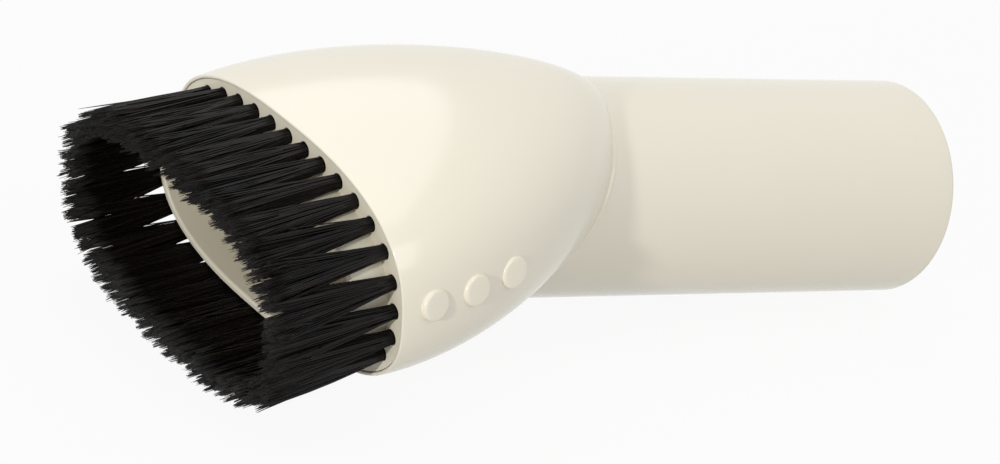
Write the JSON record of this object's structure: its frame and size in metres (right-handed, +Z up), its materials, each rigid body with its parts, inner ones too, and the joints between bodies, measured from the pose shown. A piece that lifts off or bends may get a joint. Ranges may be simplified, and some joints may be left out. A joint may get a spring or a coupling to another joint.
{
  "type": "vacuum dusting brush",
  "caption": "Round-socket vacuum dusting brush with an oval, down-turned mouth ringed by soft dark bristle tufts.",
  "frame": {"origin": "under the middle of the brush's box, on the surface that it lies on", "axes": "+X towards the open end of the wand socket, +Z up, the mirror plane in X and Z; the neck slopes down to +X and the mouth looks down to -X"},
  "size_m": [0.155, 0.072, 0.0471],
  "materials": {
    "moulded_shell": "cream moulded plastic, semi-gloss",
    "moulded_ring": "cream moulded plastic, satin",
    "anchor_wire": "plain drawn flat wire",
    "bristle": "near-black synthetic bristle, soft sheen"
  },
  "bodies": {
    "root": {"body": "moulded_shell", "bristle_ring": "moulded_ring", "tuft_anchors": "anchor_wire", "tuft_01": "bristle", "tuft_02": "bristle", "tuft_03": "bristle", "tuft_04": "bristle", "tuft_05": "bristle", "tuft_06": "bristle", "tuft_07": "bristle", "tuft_08": "bristle", "tuft_09": "bristle", "tuft_10": "bristle", "tuft_11": "bristle", "tuft_12": "bristle", "tuft_13": "bristle", "tuft_14": "bristle", "tuft_15": "bristle", "tuft_16": "bristle", "tuft_17": "bristle", "tuft_18": "bristle", "tuft_19": "bristle", "tuft_20": "bristle", "tuft_21": "bristle", "tuft_22": "bristle", "tuft_23": "bristle", "tuft_24": "bristle", "tuft_25": "bristle", "tuft_26": "bristle", "tuft_27": "bristle", "tuft_28": "bristle", "tuft_29": "bristle", "tuft_30": "bristle", "tuft_31": "bristle", "tuft_32": "bristle"}
  },
  "joints": []
}
